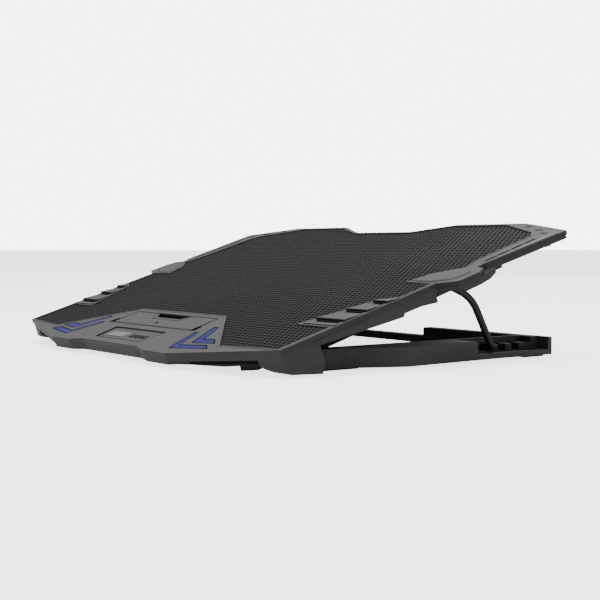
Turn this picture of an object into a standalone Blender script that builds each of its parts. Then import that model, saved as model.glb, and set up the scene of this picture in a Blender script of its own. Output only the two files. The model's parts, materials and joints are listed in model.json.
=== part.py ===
"""A laptop cooling pad: a tilting deck of fans under a perforated sheet, on a U-shaped base.

The deck turns on two pins near its front edge. Two wire legs hang from its underside and
stand in toothed channels at the rear of the base. Deck pieces are drawn in the deck's own
axes: X across, Y back along the deck from its front edge, Z up from its top face.
"""

import math

import bmesh
import bpy
from mathutils import Matrix, Vector

MM = 0.001
GAP = 0.3  # clearance between pieces that touch, in millimetres as every size below

# Stance
TILT = math.radians(17.4)
DECK_FRONT_Z = 11.2
HINGE_Y, HINGE_Z = 56.2, 8.5
MIDDLE_Y = 131.33  # the origin lies this far behind the deck's front edge
HINGE_V = HINGE_Y * math.cos(TILT) + (HINGE_Z - DECK_FRONT_Z) * math.sin(TILT)
HINGE_W = (HINGE_Z - DECK_FRONT_Z) * math.cos(TILT) - HINGE_Y * math.sin(TILT)
PIN_RADIUS, PIN_BORE = 2.0, 2.3

# Deck
FRAME_THICK = 3.0
SHEET_TOP, SHEET_LOW = -0.5, -1.2
PAN_TOP, PAN_LOW = -3.3, -5.6
TRAY_X, TRAY_FRONT, TRAY_REAR, TRAY_LOW = 144.5, 56.0, 243.0, -22.2
WALL = 2.2
DECK_HALF = [
    (41.5, 0), (57, -4.2), (85.3, -4.3), (180, 20.5), (184.7, 143.6),
    (198.5, 149), (200, 152), (200, 168), (196.5, 175.5), (188.5, 177.5),
    (195.5, 259.2), (141.5, 278.6), (69, 278.6), (33.5, 261.4),
]
WINDOW_HALF = [
    (58.8, 62.7), (119.7, 16.8), (177, 21.5), (178.4, 59.4), (144.7, 59.4),
    (150, 71.8), (158.5, 88.9), (165.7, 107.6), (180.6, 116), (181.6, 143), (156, 143.6),
    (162, 161), (179, 175), (174.5, 192), (174.5, 245), (168, 254), (125.5, 274.3),
    (70.5, 274.8), (34.5, 258.2),
]
SIDE_SLOTS = [(154.5, 177.5, 68), (162, 178.5, 86), (170.5, 179.5, 102.6)]  # x, x, y
SIDE_SLOT_WIDE = 2.4
RIM_SLOT_X, RIM_SLOT_WIDE, RIM_SLOT_LONG = 184, 1.7, 10
RIM_SLOT_STARTS = [190, 203, 216, 229]
CORNER_SLOTS = [(149, 155, 269.2), (166, 173, 260.5), (178, 184, 252.5)]
SCREW_PLACES = [(166, 76.5), (187.5, 246)]

# Control panel
RECESS_HALF = [(33, 6.9), (36, 26)]
RECESS_DEEP = 0.8
DISPLAY = [(-31, 12), (-4, 12), (0, 20.5), (-27, 20.5)]
BUTTON_X, BUTTON_Y, BUTTON_SIZE = [8, 16, 24], 15.5, (5.6, 4.6)
CHEVRONS = [
    ((78.1, 4.6), (67.5, 30.5), (113.5, 10.2), 4.6),
    ((87.9, 16.2), (74.8, 41.8), (109.4, 18.8), 5.6),
]
LENS_DEEP = 2.6

# Laptop stop
STOP_AXIS_Y, STOP_AXIS_Z, STOP_THICK = 35.4, -1.3, 2.6
STOP_HALF = [(56, 0), (55.7, 20.7), (22.7, 20.7), (16.2, 14.4)]
STOP_WINDOW_HALF = [(61.5, 33.75), (60, 40.6), (57.2, 40.9), (56.4, 56.5)]
STOP_PIN_RADIUS, STOP_BORE = 0.6, 0.85

# Fans: name, centre x, centre y, half side of the frame, blade count
FANS = [
    ("centre", 0, 149.5, 57.5, 9),
    ("front_left", -101, 98, 37.5, 7),
    ("front_right", 101, 98, 37.5, 7),
    ("rear_left", -101, 201, 37.5, 7),
    ("rear_right", 101, 201, 37.5, 7),
]
FAN_LOW, FAN_TOP, FAN_FLOOR = -19.7, -5.8, 2.0
FAN_RIM = 2.0

# Base
BASE_LOW, ARM_TOP, CHANNEL_FLOOR, LOW_WALL_TOP, TEETH_TOP = 1.5, 14.0, 3.2, 5.4, 10.0
ARM_IN_X, ARM_FRONT, BASE_REAR = 148, 44, 259
REAR_BAR_FRONT, REAR_DIP_X, REAR_DIP_TOP = 250.5, 47.5, 7.4
ARM_OUTSIDE = [(158, ARM_FRONT), (161.5, 79), (179, 119), (173, 205), (173, BASE_REAR)]
CHANNEL_X = (162.3, 170.2)
CHANNEL_FRONT = 185.0
NOTCH_FIRST, NOTCH_PITCH, NOTCH_WIDE = 206.8, 13.2, 7.4

# Wire legs, in the plane X = LEG_X: foot and knee in world Y and Z, pivot in the deck's axes
LEG_X, LEG_RADIUS = 166.3, 2.5
PIVOT_V, PIVOT_W = 168.5, -9.7
KNEE_Y, KNEE_Z = 186.6, 43.3
FOOT_Y, FOOT_Z = 206.8, 7.0
KNEE_BEND, LEG_PIN_X = 11.0, 150.5

# USB sockets on the left side
SOCKET_Y, SOCKET_Z = [88, 104], -6.5
SOCKET_HOLE = (12.5, 5.2)


# ---------------------------------------------------------------- scene and materials


def clear_scene():
    for thing in list(bpy.data.objects):
        bpy.data.objects.remove(thing, do_unlink=True)


def new_collection(name, is_helper=False):
    group = bpy.data.collections.new(name)
    bpy.context.scene.collection.children.link(group)
    group.hide_render = is_helper
    return group


def new_material(name, colour, roughness, metallic=0.0):
    finish = bpy.data.materials.new(name)
    finish.use_nodes = True
    shader = finish.node_tree.nodes["Principled BSDF"]
    shader.inputs["Base Color"].default_value = (*colour, 1.0)
    shader.inputs["Roughness"].default_value = roughness
    shader.inputs["Metallic"].default_value = metallic
    finish.diffuse_color = (*colour, 1.0)
    return finish


def new_empty(name, location, parent=None, tilt=0.0):
    empty = bpy.data.objects.new(name, None)
    PAD.objects.link(empty)
    empty.parent = parent
    empty.location = [value * MM for value in location]
    empty.rotation_euler.x = tilt
    return empty


clear_scene()
PAD = new_collection("cooling_pad")
HELPERS = new_collection("cutters", is_helper=True)

GREY = new_material("grey_plastic", (0.17, 0.17, 0.17), 0.5)
DARK = new_material("dark_plastic", (0.045, 0.045, 0.045), 0.55)
MESH_BLACK = new_material("black_steel_sheet", (0.03, 0.03, 0.03), 0.45, 0.6)
BLACK = new_material("black_plastic", (0.01, 0.01, 0.01), 0.5)
BLUE = new_material("blue_lens", (0.04, 0.06, 0.32), 0.3)
RUBBER = new_material("rubber", (0.006, 0.006, 0.006), 0.8)
WIRE = new_material("painted_wire", (0.008, 0.008, 0.008), 0.35, 0.5)
STEEL = new_material("steel", (0.45, 0.45, 0.45), 0.3, 1.0)
GLASS = new_material("display_window", (0.3, 0.3, 0.3), 0.2)
BOARD = new_material("circuit_board", (0.02, 0.12, 0.05), 0.5)

DECK_AXIS = new_empty("deck_axis", (0, HINGE_Y - MIDDLE_Y, HINGE_Z), tilt=TILT)
DECK = new_empty("deck_datum", (0, -HINGE_V, -HINGE_W), DECK_AXIS)
BASE = new_empty("base_datum", (0, -MIDDLE_Y, 0))


# ---------------------------------------------------------------- outlines, in millimetres


def both_sides(half):
    """A closed loop from its right half, front to rear."""
    return list(half) + [(-x, y) for x, y in reversed(half) if x > 0]


def flipped(loop, side):
    return [(side * x, y) for x, y in loop]


def rectangle(x0, x1, y0, y1):
    return [(x0, y0), (x1, y0), (x1, y1), (x0, y1)]


def circle(x, y, radius, count, start=0.0):
    step = 2 * math.pi / count
    return [
        (x + radius * math.cos(start + i * step), y + radius * math.sin(start + i * step))
        for i in range(count)
    ]


def arc(x, y, radius, first, last, count):
    """Points on a circle from one angle to another, in degrees."""
    angles = [math.radians(first + (last - first) * i / count) for i in range(count + 1)]
    return [(x + radius * math.cos(a), y + radius * math.sin(a)) for a in angles]


def meeting(point, direction, other, other_direction):
    """Where two lines cross."""
    cross = direction.x * other_direction.y - direction.y * other_direction.x
    away = other - point
    along = (away.x * other_direction.y - away.y * other_direction.x) / cross
    return point + direction * along


def inset(loop, distance):
    """The loop moved inward by a distance, each corner kept sharp. It runs anticlockwise."""
    corners = [Vector(point) for point in loop]
    result = []
    for i, corner in enumerate(corners):
        before = (corner - corners[i - 1]).normalized()
        after = (corners[(i + 1) % len(corners)] - corner).normalized()
        first = corner + distance * Vector((-before.y, before.x))
        second = corner + distance * Vector((-after.y, after.x))
        straight = abs(before.cross(after)) < 1e-6
        place = first if straight else meeting(first, before, second, after)
        result.append(tuple(place))
    return result


def chevron(tip, end_a, end_b, width):
    """A V from a pointed tip. Arm a narrows to its end, and arm b's end is cut at a slant."""
    tip, end_a, end_b = Vector(tip), Vector(end_a), Vector(end_b)
    to_a, to_b = (end_a - tip).normalized(), (end_b - tip).normalized()
    side_a = width * Vector((to_a.y, -to_a.x))
    side_b = width * Vector((-to_b.y, to_b.x))
    inner = meeting(tip + side_a, to_a, tip + side_b, to_b)
    cut_a = tip + side_a * 0.6 + to_a * ((end_a - tip).length - width * 0.2)
    cut_b = tip + side_b + to_b * ((end_b - tip).length - width * 1.1)
    return [tuple(point) for point in (tip, end_b, cut_b, inner, cut_a, end_a)]


# ---------------------------------------------------------------- solids


def place(name, mesh, finish, parent, helper=False):
    """An object for this mesh. A helper is a cutter or an operand, left out of renders."""
    thing = bpy.data.objects.new(name, mesh)
    (HELPERS if helper else PAD).objects.link(thing)
    thing.parent = parent
    if helper:
        thing.hide_render = True
        thing.display_type = "WIRE"
    elif not mesh.materials:
        mesh.materials.append(finish)
    return thing


def curve_to_mesh(curve, name):
    """The curve's surface as one welded mesh in metres."""
    guide = bpy.data.objects.new(name + "_guide", curve)
    HELPERS.objects.link(guide)
    graph = bpy.context.evaluated_depsgraph_get()
    mesh = bpy.data.meshes.new_from_object(guide.evaluated_get(graph))
    bpy.data.objects.remove(guide)
    bpy.data.curves.remove(curve)
    shape = bmesh.new()
    shape.from_mesh(mesh)
    bmesh.ops.remove_doubles(shape, verts=shape.verts, dist=1e-7)
    bmesh.ops.recalc_face_normals(shape, faces=shape.faces)
    shape.to_mesh(mesh)
    shape.free()
    mesh.name = name
    mesh.materials.clear()
    return mesh


def plate_mesh(name, loops, low, high):
    """Flat loops filled, the inner ones as holes, and given a thickness along Z."""
    curve = bpy.data.curves.new(name, "CURVE")
    curve.dimensions = "2D"
    curve.fill_mode = "BOTH"
    curve.extrude = (high - low) / 2 * MM
    for loop in loops:
        spline = curve.splines.new("POLY")
        spline.points.add(len(loop) - 1)
        for point, (x, y) in zip(spline.points, loop):
            point.co = (x * MM, y * MM, 0, 1)
        spline.use_cyclic_u = True
    mesh = curve_to_mesh(curve, name)
    mesh.transform(Matrix.Translation((0, 0, (low + high) / 2 * MM)))
    return mesh


def plate(name, loops, low, high, finish, parent, helper=False):
    return place(name, plate_mesh(name, loops, low, high), finish, parent, helper)


def section(name, loop, x_low, x_high, finish, parent, helper=False):
    """A loop in the YZ plane carried along X."""
    mesh = plate_mesh(name, [loop], x_low, x_high)
    turn = Matrix(((0, 0, 1, 0), (1, 0, 0, 0), (0, 1, 0, 0), (0, 0, 0, 1)))
    mesh.transform(turn)
    return place(name, mesh, finish, parent, helper)


def block(name, x, y, z, finish, parent, helper=False):
    """A box between pairs of limits."""
    return plate(name, [rectangle(*x, *y)], *z, finish, parent, helper)


def rod(name, radius, ends, centre, finish, parent, along="X", sides=20, helper=False):
    """A round bar between two places along X or Z, centred on the other two axes."""
    shape = bmesh.new()
    long = (ends[1] - ends[0]) * MM
    bmesh.ops.create_cone(
        shape, cap_ends=True, segments=sides, radius1=radius * MM, radius2=radius * MM, depth=long
    )
    middle = (ends[0] + ends[1]) / 2
    if along == "X":
        bmesh.ops.rotate(shape, verts=shape.verts, matrix=Matrix.Rotation(math.pi / 2, 3, "Y"))
        shift = (middle, centre[0], centre[1])
    else:
        shift = (centre[0], centre[1], middle)
    bmesh.ops.translate(shape, verts=shape.verts, vec=[value * MM for value in shift])
    mesh = bpy.data.meshes.new(name)
    shape.to_mesh(mesh)
    shape.free()
    mesh.shade_smooth()
    mesh.set_sharp_from_angle(angle=math.radians(40))
    return place(name, mesh, finish, parent, helper)


def boolean(thing, other, operation="DIFFERENCE"):
    modifier = thing.modifiers.new(other.name, "BOOLEAN")
    modifier.operation = operation
    modifier.solver = "EXACT"
    modifier.object = other


def settle(thing):
    """Turns the modifiers' result into the object's own mesh."""
    graph = bpy.context.evaluated_depsgraph_get()
    mesh = bpy.data.meshes.new_from_object(thing.evaluated_get(graph))
    mesh.name = thing.name
    thing.modifiers.clear()
    thing.data = mesh
    return thing


# ---------------------------------------------------------------- base


def base_outline():
    """The U seen from above: two arms joined by a bar at the rear."""
    return both_sides([(ARM_IN_X, REAR_BAR_FRONT), (ARM_IN_X, ARM_FRONT)] + ARM_OUTSIDE)


def arm_nose(side):
    """What rounds the arm's front end: the corner outside a quarter ellipse about the hinge."""
    reach, rise = HINGE_Y - ARM_FRONT, ARM_TOP - HINGE_Z
    curve = [(HINGE_Y - reach * x, HINGE_Z + rise * y) for x, y in arc(0, 0, 1, 90, 0, 8)]
    corner = [(ARM_FRONT - 2, HINGE_Z), (ARM_FRONT - 2, ARM_TOP + 2), (HINGE_Y, ARM_TOP + 2)]
    name = f"nose_cutter_{side}"
    low, high = sorted((side * (ARM_IN_X - 2), side * 165))
    return section(name, curve + corner, low, high, None, BASE, helper=True)


def channel_cutters(side):
    """Hollows in the arm: the leg's channel, the outer wall's low stretch and the notches."""
    name = "right" if side > 0 else "left"
    low, high = sorted((side * CHANNEL_X[0], side * CHANNEL_X[1]))
    rear = REAR_BAR_FRONT - 1.5
    above = (CHANNEL_FLOOR, ARM_TOP + 2)
    yield block(f"channel_{name}", (low, high), (CHANNEL_FRONT, rear), above, None, BASE, True)
    wall = sorted((side * CHANNEL_X[0], side * 185))
    over_wall = (LOW_WALL_TOP, ARM_TOP + 2)
    yield block(f"wall_{name}", wall, (CHANNEL_FRONT, BASE_REAR - 3.5), over_wall, None, BASE, True)
    rail = sorted((side * (ARM_IN_X + 3), side * (CHANNEL_X[0] + 1)))
    over_rail = (TEETH_TOP, ARM_TOP + 2)
    yield block(f"rail_{name}", rail, (CHANNEL_FRONT, rear), over_rail, None, BASE, True)
    for i in range(3):
        middle = NOTCH_FIRST + i * NOTCH_PITCH
        front = middle - (NOTCH_WIDE / 2 if i else 11)
        deep = (LOW_WALL_TOP, ARM_TOP + 2)
        span = (front, middle + NOTCH_WIDE / 2)
        yield block(f"notch_{name}_{i}", rail, span, deep, None, BASE, True)
    pocket = [(151, 76), (159, 80), (175.5, 120), (171.5, 180), (151, 180)]
    loop = flipped(pocket, side)
    yield plate(f"pocket_{name}", [loop], BASE_LOW - 2, ARM_TOP - 2.2, None, BASE, True)


def make_base():
    frame = plate("base_frame", [base_outline()], BASE_LOW, ARM_TOP, DARK, BASE)
    dip = (REAR_BAR_FRONT - 2, BASE_REAR + 2), (REAR_DIP_TOP, ARM_TOP + 2)
    boolean(frame, block("rear_dip", (-REAR_DIP_X, REAR_DIP_X), *dip, None, BASE, True))
    bar_hollow = (REAR_BAR_FRONT + 2, BASE_REAR - 2), (BASE_LOW - 2, REAR_DIP_TOP - 2)
    boolean(frame, block("bar_hollow", (-140, 140), *bar_hollow, None, BASE, True))
    for side in (-1, 1):
        boolean(frame, arm_nose(side))
        for cutter in channel_cutters(side):
            boolean(frame, cutter)
        name = "right" if side > 0 else "left"
        ends = sorted((side * (ARM_IN_X - 2), side * 163))
        centre = (HINGE_Y, HINGE_Z)
        bore = rod(f"base_bore_{name}", PIN_BORE, ends, centre, None, BASE, helper=True)
        boolean(frame, bore)
        pin_ends = sorted((side * 143.4, side * 164.6))
        rod(f"hinge_pin_{name}", PIN_RADIUS, pin_ends, centre, STEEL, BASE)
        front = sorted((side * 149.5, side * 157.5)), (46, 96)
        rear = sorted((side * 152, side * 168)), (236, 256)
        foot = (0, BASE_LOW - GAP)
        block(f"base_foot_front_{name}", *front, foot, RUBBER, BASE)
        block(f"base_foot_rear_{name}", *rear, foot, RUBBER, BASE)


# ---------------------------------------------------------------- deck: frame and sheet


def slot_loops():
    """The slots through the side rims, as loops."""
    half = SIDE_SLOT_WIDE / 2
    loops = [rectangle(x0, x1, y - half, y + half) for x0, x1, y in SIDE_SLOTS]
    loops += [rectangle(x0, x1, y - 1.1, y + 1.1) for x0, x1, y in CORNER_SLOTS]
    x0, x1 = RIM_SLOT_X - RIM_SLOT_WIDE / 2, RIM_SLOT_X + RIM_SLOT_WIDE / 2
    loops += [rectangle(x0, x1, y, y + RIM_SLOT_LONG) for y in RIM_SLOT_STARTS]
    return [flipped(loop, side) for side in (-1, 1) for loop in loops]


def button_loop(x, extra=0.0):
    wide, deep = BUTTON_SIZE[0] / 2 + extra, BUTTON_SIZE[1] / 2 + extra
    return rectangle(x - wide, x + wide, BUTTON_Y - deep, BUTTON_Y + deep)


def make_top_frame():
    loops = [both_sides(DECK_HALF), both_sides(WINDOW_HALF), both_sides(STOP_WINDOW_HALF)]
    loops += slot_loops()
    for tip, end_a, end_b, width in CHEVRONS:
        lens = chevron(tip, end_a, end_b, width)
        loops += [flipped(inset(lens, -GAP), side) for side in (-1, 1)]
    frame = plate("top_frame", loops, -FRAME_THICK, 0, GREY, DECK)
    recess = [both_sides(RECESS_HALF)]
    boolean(frame, plate("panel_recess", recess, -RECESS_DEEP, 2, None, DECK, helper=True))
    openings = [inset(DISPLAY, -GAP)] + [button_loop(x, GAP) for x in BUTTON_X]
    for number, loop in enumerate(openings):
        name = f"panel_opening_{number}"
        boolean(frame, plate(name, [loop], -FRAME_THICK - 1, 2, None, DECK, helper=True))
    for side in (-1, 1):
        ends = sorted((side * 59, side * 66))
        centre = (STOP_AXIS_Y, STOP_AXIS_Z)
        name = f"stop_seat_{side}"
        boolean(frame, rod(name, STOP_BORE, ends, centre, None, DECK, sides=12, helper=True))
        for i, (x, y) in enumerate(SCREW_PLACES):
            name, ends = f"frame_screw_hole_{side}_{i}", (-FRAME_THICK - 1, -1)
            spot = (side * x, y)
            boolean(frame, rod(name, 1.6, ends, spot, None, DECK, "Z", 12, helper=True))


def make_sheet():
    loop = inset(both_sides(WINDOW_HALF), GAP)
    plate("mesh_sheet", [loop], SHEET_LOW, SHEET_TOP, MESH_BLACK, DECK)


def make_lenses():
    for number, (tip, end_a, end_b, width) in enumerate(CHEVRONS, start=1):
        loop = chevron(tip, end_a, end_b, width)
        for side, name in ((-1, "left"), (1, "right")):
            title = f"light_lens_{name}_{number}"
            plate(title, [flipped(loop, side)], -LENS_DEEP, 0, BLUE, DECK)


def make_panel_parts():
    plate("display_window", [DISPLAY], -2.4, -0.6, GLASS, DECK)
    block("display_module", (-32, 1), (10.5, 22), (-5.0, -FRAME_THICK - GAP), BLACK, DECK)
    block("control_board", (-46, 46), (6, 30), (-6.3, -5.3), BOARD, DECK)
    for number, x in enumerate(BUTTON_X, start=1):
        middle = (x, BUTTON_Y)
        loop = [(a - middle[0], b - middle[1]) for a, b in button_loop(x)]
        button = plate(f"button_{number}", [loop], -3.6, 0.45, BLACK, DECK)
        button.location = (x * MM, BUTTON_Y * MM, -RECESS_DEEP * MM)


def make_stop():
    """The flap that lifts at its rear edge and keeps a laptop from sliding off."""
    loop = both_sides(STOP_HALF)
    flap = plate("laptop_stop", [loop], -STOP_THICK / 2, STOP_THICK / 2, GREY, DECK)
    axis = (STOP_AXIS_Y, STOP_AXIS_Z)
    half, centre = STOP_HALF[0][0], (0, 0)
    round_front = arc(0.06, 0, STOP_THICK / 2 - 0.05, 90, 270, 10)
    barrel = section("stop_barrel", round_front, 0.2 - half, half - 0.2, None, DECK, True)
    hole = rod("stop_light_hole", 1.8, (-3, 3), (0, 4.6), None, DECK, "Z", 16, helper=True)
    helpers = [(barrel, "UNION"), (hole, "DIFFERENCE")]
    for side, name in ((-1, "left"), (1, "right")):
        ends = sorted((side * 49, side * 57))
        bore = rod(f"stop_bore_{name}", STOP_BORE, ends, centre, None, DECK, sides=12, helper=True)
        helpers.append((bore, "DIFFERENCE"))
        pin_ends = sorted((side * 50, side * 65))
        rod(f"stop_pin_{name}", STOP_PIN_RADIUS, pin_ends, axis, STEEL, DECK, sides=12)
    for helper, operation in helpers:
        helper.location = (0, STOP_AXIS_Y * MM, STOP_AXIS_Z * MM)
        boolean(flap, helper, operation)
    flap.location = (0, STOP_AXIS_Y * MM, STOP_AXIS_Z * MM)


# ---------------------------------------------------------------- deck: lower shell

FRONT_PLAN_HALF = [
    (41.6, 0.9), (57.1, -3.3), (85.2, -3.4), (166, 17.8), (146, 34), (146, 56.5),
]
FRONT_BAND_LOW = -6.4  # below this the outer front recedes under the deck
LOWER_PLAN_HALF = [
    (41.6, 0.9), (57.1, -3.3), (85.2, -3.4), (98, 4.8), (151, 24), (146, 34), (146, 56.5),
]
FRONT_BELLY = [
    (-6, -3.3), (-6, -8.0), (0, -8.8), (14, -12.9), (26, -12.9), (57, -9), (57, -3.3),
]
FRONT_BAY = [(-6, -3.2), (-6, -6.4), (0, -6.8), (14, -10.8), (26, -10.8), (53.6, -7), (53.6, -3.2)]
EAR_PLAN = [(160, 16.3), (179, 21.2), (180.4, 51.5), (164.8, 51.5), (164.8, 30), (160, 30)]
EAR_PROFILE = [
    (8.6, -3.5), (8.6, -6.4), (16, -9.4), (19.2, -13.2), (24.5, -17.2), (45.5, -24.4),
    (49.3, -17.7), (48, -3.5),
]
WING_PLAN = [
    (182.6, 151.6), (198.2, 151.6), (199.1, 153), (199.1, 167.7), (196, 186.2), (184, 186.2),
    (176, 160),
]
WING_PROFILE = [(150, -3.5), (153.2, -8.6), (178.4, -8.4), (185, -6.6), (190, -3.5)]
SKIRT_PLAN = [
    (179.2, 21.5), (180.7, 59), (183.8, 142.6), (181.4, 142.6), (178.3, 59), (176.6, 21.5),
]
SKIRT_PROFILE = [
    (20, -3.4), (20, -9), (46, -6.9), (113.4, -12.3), (115, -10.4), (129, -10.6),
    (142.6, -12.6), (142.6, -3.4),
]


def lug_profile(front, top):
    """A hinge lug in side view: straight down from the shell, round about the pin."""
    round_end = arc(HINGE_V, HINGE_W, 6, -120, 40, 12)
    return [(front, top), (front, HINGE_W + 5)] + round_end + [(HINGE_V + 2, top)]


def shell_pieces():
    """What is joined to the shell's floor plate."""
    plan = [both_sides(FRONT_PLAN_HALF)]
    yield plate("front_band", plan, FRONT_BAND_LOW, PAN_TOP - 0.1, None, DECK, helper=True)
    belly = section("belly", FRONT_BELLY, -170, 170, None, DECK, helper=True)
    plan = [both_sides(LOWER_PLAN_HALF)]
    boolean(belly, plate("lower_plan", plan, -30, -3.5, None, DECK, helper=True), "INTERSECT")
    yield belly
    tray = (-TRAY_X, TRAY_X), (TRAY_FRONT, TRAY_REAR), (TRAY_LOW, PAN_TOP - 0.1)
    yield block("tray", *tray, None, DECK, helper=True)
    for side in (-1, 1):
        ends = sorted((side * 150, side * 190))
        ear = section(f"ear_{side}", EAR_PROFILE, *ends, None, DECK, helper=True)
        loop = [flipped(EAR_PLAN, side)]
        boolean(ear, plate(f"ear_plan_{side}", loop, -40, 2, None, DECK, True), "INTERSECT")
        yield ear
        skirt = section(f"skirt_{side}", SKIRT_PROFILE, *ends, None, DECK, helper=True)
        loop = [flipped(SKIRT_PLAN, side)]
        boolean(skirt, plate(f"skirt_plan_{side}", loop, -40, 2, None, DECK, True), "INTERSECT")
        yield skirt
        wing = section(f"wing_{side}", WING_PROFILE, *sorted((side * 170, side * 205)), None, DECK, helper=True)
        loop = [flipped(WING_PLAN, side)]
        boolean(wing, plate(f"wing_plan_{side}", loop, -40, 2, None, DECK, True), "INTERSECT")
        yield wing
        outer = sorted((side * 161, side * 165.5))
        inner = sorted((side * 142.6, side * 147.4))
        yield section(f"outer_lug_{side}", lug_profile(36, -4), *outer, None, DECK, helper=True)
        yield section(f"inner_lug_{side}", lug_profile(44, -4), *inner, None, DECK, helper=True)


def shell_cutters():
    """What is taken out of the shell once it is whole."""
    bay = section("bay", FRONT_BAY, -142, 142, None, DECK, helper=True)
    plan = [inset(both_sides(LOWER_PLAN_HALF), WALL)]
    boolean(bay, plate("bay_plan", plan, -30, 2, None, DECK, helper=True), "INTERSECT")
    yield bay
    inside = TRAY_X - WALL
    hollow = (-inside, inside), (TRAY_FRONT + WALL, TRAY_REAR - WALL), (TRAY_LOW + WALL, 0)
    yield block("tray_hollow", *hollow, None, DECK, helper=True)
    for name, x, y, half, _ in FANS:
        ends = (TRAY_LOW - 2, TRAY_LOW + 4)
        radius = half - FAN_RIM
        yield rod(f"inlet_{name}", radius, ends, (x, y), None, DECK, "Z", 40, helper=True)
    for side in (-1, 1):
        limits = sorted((side * 161.5, side * 171.5)), (173, 212)
        yield block(f"leg_slot_{side}", *limits, (PAN_LOW - 2, 0), None, DECK, helper=True)
        ends = sorted((side * 141, side * 162.9))
        centre = (HINGE_V, HINGE_W)
        yield rod(f"deck_bore_{side}", PIN_BORE, ends, centre, None, DECK, helper=True)
        ends = sorted((side * 160, side * 165))
        yield rod(f"deck_seat_{side}", PIN_BORE, ends, centre, None, DECK, helper=True)
        for i, spot in enumerate(SCREW_PLACES):
            ends, place_xy = (PAN_LOW - 1, 0), (side * spot[0], spot[1])
            name = f"shell_screw_hole_{side}_{i}"
            yield rod(name, 1.7, ends, place_xy, None, DECK, "Z", 12, helper=True)
    for i, y in enumerate(SOCKET_Y):
        half_wide, half_high = SOCKET_HOLE[0] / 2, SOCKET_HOLE[1] / 2
        span = (y - half_wide, y + half_wide), (SOCKET_Z - half_high, SOCKET_Z + half_high)
        yield block(f"socket_mouth_{i}", (-186, -177), *span, None, DECK, helper=True)
        room = (y - 7.4, y + 7.4), (SOCKET_Z - 4, 0)
        yield block(f"socket_room_{i}", (-178.9, -164.8), *room, None, DECK, helper=True)


def make_lower_shell():
    floor = [inset(both_sides(DECK_HALF), 0.8)]
    shell = plate("lower_shell", floor, PAN_LOW, PAN_TOP, DARK, DECK)
    for piece in shell_pieces():
        boolean(shell, piece, "UNION")
    for cutter in shell_cutters():
        boolean(shell, cutter)


def make_screws():
    for side, name in ((-1, "left"), (1, "right")):
        for i, (x, y) in enumerate(SCREW_PLACES):
            spot = (side * x, y)
            row = "front" if i == 0 else "rear"
            title = f"shell_screw_{row}_{name}"
            head_low = PAN_LOW - GAP - 1.5
            screw = rod(title, 2.6, (head_low, PAN_LOW - GAP), spot, STEEL, DECK, "Z", 16)
            ends = (PAN_LOW - 1, -1.4)
            shank = rod(f"shank_{title}", 1.3, ends, spot, None, DECK, "Z", 12, helper=True)
            boolean(screw, shank, "UNION")


def make_front_feet():
    """Pads under the front corners, cut level with the ground while the deck is raised."""
    for side, name in ((-1, "left"), (1, "right")):
        loop = flipped([(132, 19.4), (145, 24), (145, 30.5), (132, 30.5)], side)
        foot = plate(f"deck_foot_{name}", [loop], -17, -12.9 - GAP, RUBBER, DECK)
        under = block(
            f"ground_{name}", (-200, 200), (-40, 80), (-40, 0), None, BASE, helper=True
        )
        boolean(foot, under)


def make_sockets():
    for i, y in enumerate(SOCKET_Y, start=1):
        high = SOCKET_HOLE[1] / 2
        wide = SOCKET_HOLE[0] / 2
        outer = (-178.6, -165.4), (y - wide - 0.5, y + wide + 0.5)
        socket = block(
            f"usb_socket_{i}", *outer, (SOCKET_Z - high - 0.5, -3.4), STEEL, DECK
        )
        inner = (-180, -166.4), (y - wide, y + wide), (SOCKET_Z - high, SOCKET_Z + high)
        boolean(socket, block(f"socket_inside_{i}", *inner, None, DECK, helper=True))


# ---------------------------------------------------------------- fans


def fan_frame(name, x, y, half):
    """A square frame round the blades, its floor a ring of four spokes under the motor."""
    radius = half - FAN_RIM
    corner = 3.0
    loop = []
    for turn, (sx, sy) in enumerate(((1, -1), (1, 1), (-1, 1), (-1, -1))):
        reach = half - corner
        start = -90 + 90 * turn
        loop += arc(x + sx * reach, y + sy * reach, corner, start, start + 90, 3)
    ring = circle(x, y, radius, 40)
    frame = plate(f"fan_frame_{name}", [loop, ring], FAN_LOW, FAN_TOP, DARK, DECK)
    gaps = []
    for turn in range(4):
        start = 90 * turn + 45
        outside = arc(x, y, radius - 1.2, start + 4, start + 86, 8)
        inside = arc(x, y, half * 0.3, start + 76, start + 14, 4)
        gaps.append(outside + inside)
    spider = [circle(x, y, radius + 0.8, 40)] + gaps
    floor = FAN_LOW, FAN_LOW + FAN_FLOOR
    boolean(frame, plate(f"spider_{name}", spider, *floor, None, DECK, True), "UNION")


def blade_mesh(hub_radius, tip_radius, low, high, count):
    """Twisted blades: each a strip from hub to tip whose slope eases towards the tip."""
    shape = bmesh.new()
    steps, sides = 4, 5
    for blade in range(count):
        turn = 2 * math.pi * blade / count
        rows = []
        for i in range(steps + 1):
            radius = hub_radius - 2 + (tip_radius - hub_radius + 2) * i / steps
            sweep = 0.16 * i / steps
            reach = math.pi / count * 0.86
            row = []
            for j in range(sides + 1):
                share = j / sides
                angle = turn + sweep + reach * (2 * share - 1) * 0.8
                height = low + (high - low) * share ** (1.15 + 0.1 * i / steps)
                spot = Vector((radius * math.cos(angle), radius * math.sin(angle), height))
                row.append(spot)
            rows.append(row)
        add_blade(shape, rows)
    mesh = bpy.data.meshes.new("blades")
    shape.to_mesh(mesh)
    shape.free()
    return mesh


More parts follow.
